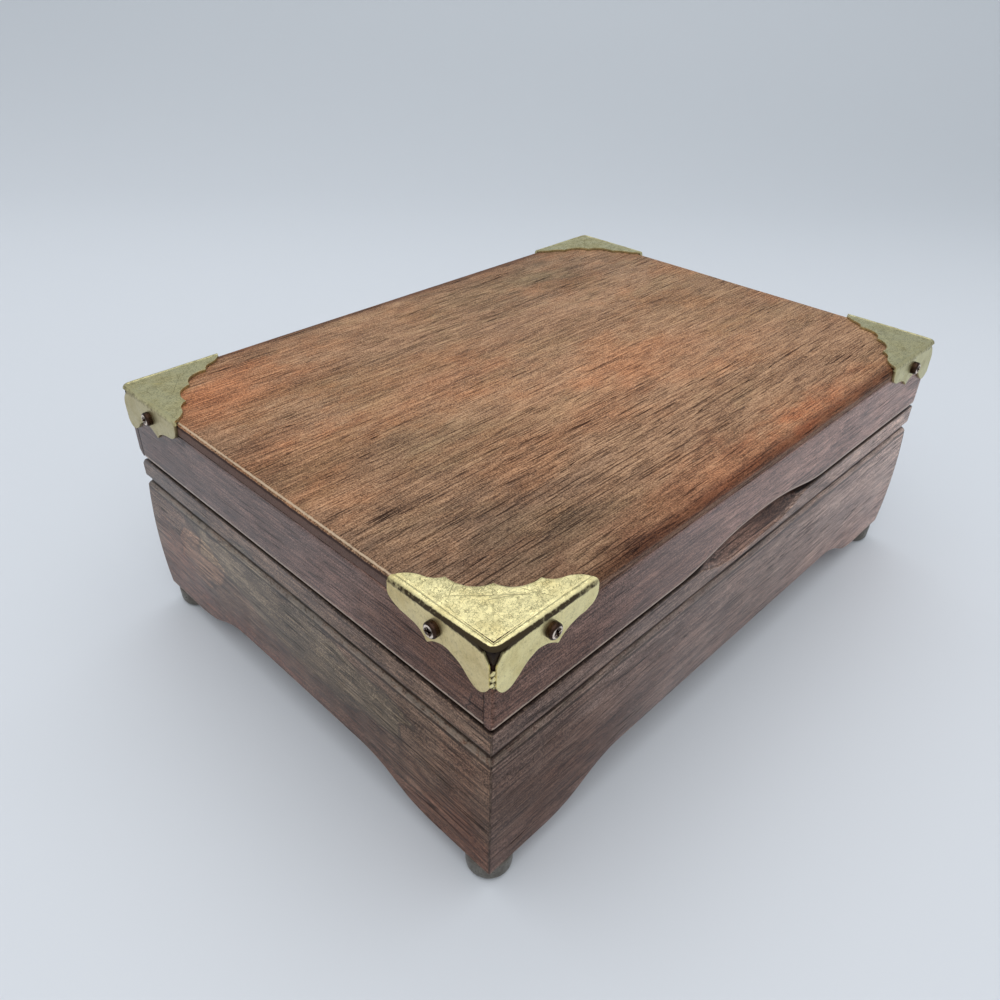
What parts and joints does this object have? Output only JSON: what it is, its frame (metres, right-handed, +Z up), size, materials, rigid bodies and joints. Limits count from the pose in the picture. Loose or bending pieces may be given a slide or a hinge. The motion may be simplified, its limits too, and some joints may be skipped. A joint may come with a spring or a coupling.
{
  "type": "music box",
  "caption": "Wooden music box on feet with brass corner caps on a hinged lid, lined compartments, and a spring-wound pinned-drum movement under a clear cover.",
  "frame": {"origin": "on the floor under the middle of the box's outline, lid shut", "axes": "+X along the box's length to the right seen from the front, +Y from the front to the hinge side, +Z up"},
  "size_m": [0.2082, 0.1532, 0.0789],
  "materials": {
    "case_wood": "worn satin",
    "lid_wood": "worn satin",
    "lid_panel_wood": "worn satin",
    "inner_wood": "matte",
    "foot_rubber": "translucent satin",
    "velvet": "matte",
    "felt": "matte",
    "clear_cover": "clear gloss",
    "mirror": "polished",
    "cap_brass": "scratched satin",
    "screw_brass": "dark tarnished",
    "plain_brass": "satin",
    "steel": "satin",
    "zinc": "cast satin"
  },
  "bodies": {
    "case": {"base_front": "case_wood", "base_back": "case_wood", "base_left": "case_wood", "base_right": "case_wood", "bottom_board": "inner_wood", "foot_front_left": "foot_rubber", "foot_front_right": "foot_rubber", "foot_back_left": "foot_rubber", "foot_back_right": "foot_rubber", "divider_long": "inner_wood", "divider_short": "inner_wood", "lining_small": "velvet", "lining_large": "velvet", "rim_pad_left": "felt", "rim_pad_right": "felt", "movement_cover": "clear_cover", "hinge_left_base_leaf": "plain_brass", "hinge_left_pin": "plain_brass", "hinge_right_base_leaf": "plain_brass", "hinge_right_pin": "plain_brass", "movement_frame": "zinc", "comb": "steel", "comb_screw_1": "plain_brass", "comb_screw_2": "plain_brass", "click": "steel", "governor_frame": "plain_brass"},
    "lid": {"lid_panel": "lid_panel_wood", "lid_front": "lid_wood", "lid_back": "lid_wood", "lid_left": "lid_wood", "lid_right": "lid_wood", "lid_lining": "velvet", "lid_mirror": "mirror", "cap_front_left": "cap_brass", "cap_front_right": "cap_brass", "cap_back_right": "cap_brass", "cap_back_left": "cap_brass", "cap_screw_front_left_end": "screw_brass", "cap_screw_front_left_face": "screw_brass", "cap_screw_front_right_end": "screw_brass", "cap_screw_front_right_face": "screw_brass", "cap_screw_back_right_end": "screw_brass", "cap_screw_back_right_face": "screw_brass", "cap_screw_back_left_end": "screw_brass", "cap_screw_back_left_face": "screw_brass", "hinge_left_lid_leaf": "plain_brass", "hinge_right_lid_leaf": "plain_brass", "stop_plate": "plain_brass"},
    "drum_set": {"drum": "plain_brass", "drum_arbor": "steel", "drum_gear": "plain_brass"},
    "barrel_set": {"spring_barrel": "steel", "mainspring": "steel"},
    "winding_set": {"winding_arbor": "steel", "ratchet_wheel": "steel", "winding_key": "plain_brass"},
    "governor_wheel_set": {"governor_wheel": "plain_brass"},
    "fly_set": {"governor_fly": "steel"},
    "stop_lever_set": {"stop_lever": "steel"}
  },
  "joints": [
    {"name": "lid_hinge", "type": "hinge", "parent": "case", "child": "lid", "pos_m": [0, 0.0718, 0.0552], "axis": [-1, 0, 0], "range_deg": [0, 100]},
    {"name": "drum_spin", "type": "hinge", "parent": "case", "child": "drum_set", "pos_m": [-0.0605, 0.04, 0.03852], "axis": [1, 0, 0], "continuous": true},
    {"name": "barrel_spin", "type": "hinge", "parent": "case", "child": "barrel_set", "pos_m": [-0.0745, 0.04, 0.03], "axis": [0, 0, 1], "continuous": true},
    {"name": "governor_spin", "type": "hinge", "parent": "case", "child": "governor_wheel_set", "pos_m": [-0.0402, 0.04689, 0.03273], "axis": [1, 0, 0], "continuous": true},
    {"name": "fly_spin", "type": "hinge", "parent": "case", "child": "fly_set", "pos_m": [-0.0402, 0.05308, 0.03], "axis": [0, 0, 1], "continuous": true},
    {"name": "winding_spin", "type": "hinge", "parent": "case", "child": "winding_set", "pos_m": [-0.0745, 0.04, 0.015], "axis": [0, 0, 1], "continuous": true},
    {"name": "stop_slide", "type": "slide", "parent": "case", "child": "stop_lever_set", "axis": [0, 0, 1], "range_m": [0, 0.0025]}
  ],
  "couplings": [
    {"joint": "barrel_spin", "follows": "drum_spin", "ratio": 0.5},
    {"joint": "governor_spin", "follows": "drum_spin", "ratio": -4},
    {"joint": "fly_spin", "follows": "drum_spin", "ratio": 32},
    {"joint": "stop_slide", "follows": "lid_hinge", "m_per_rad": 0.001432}
  ]
}
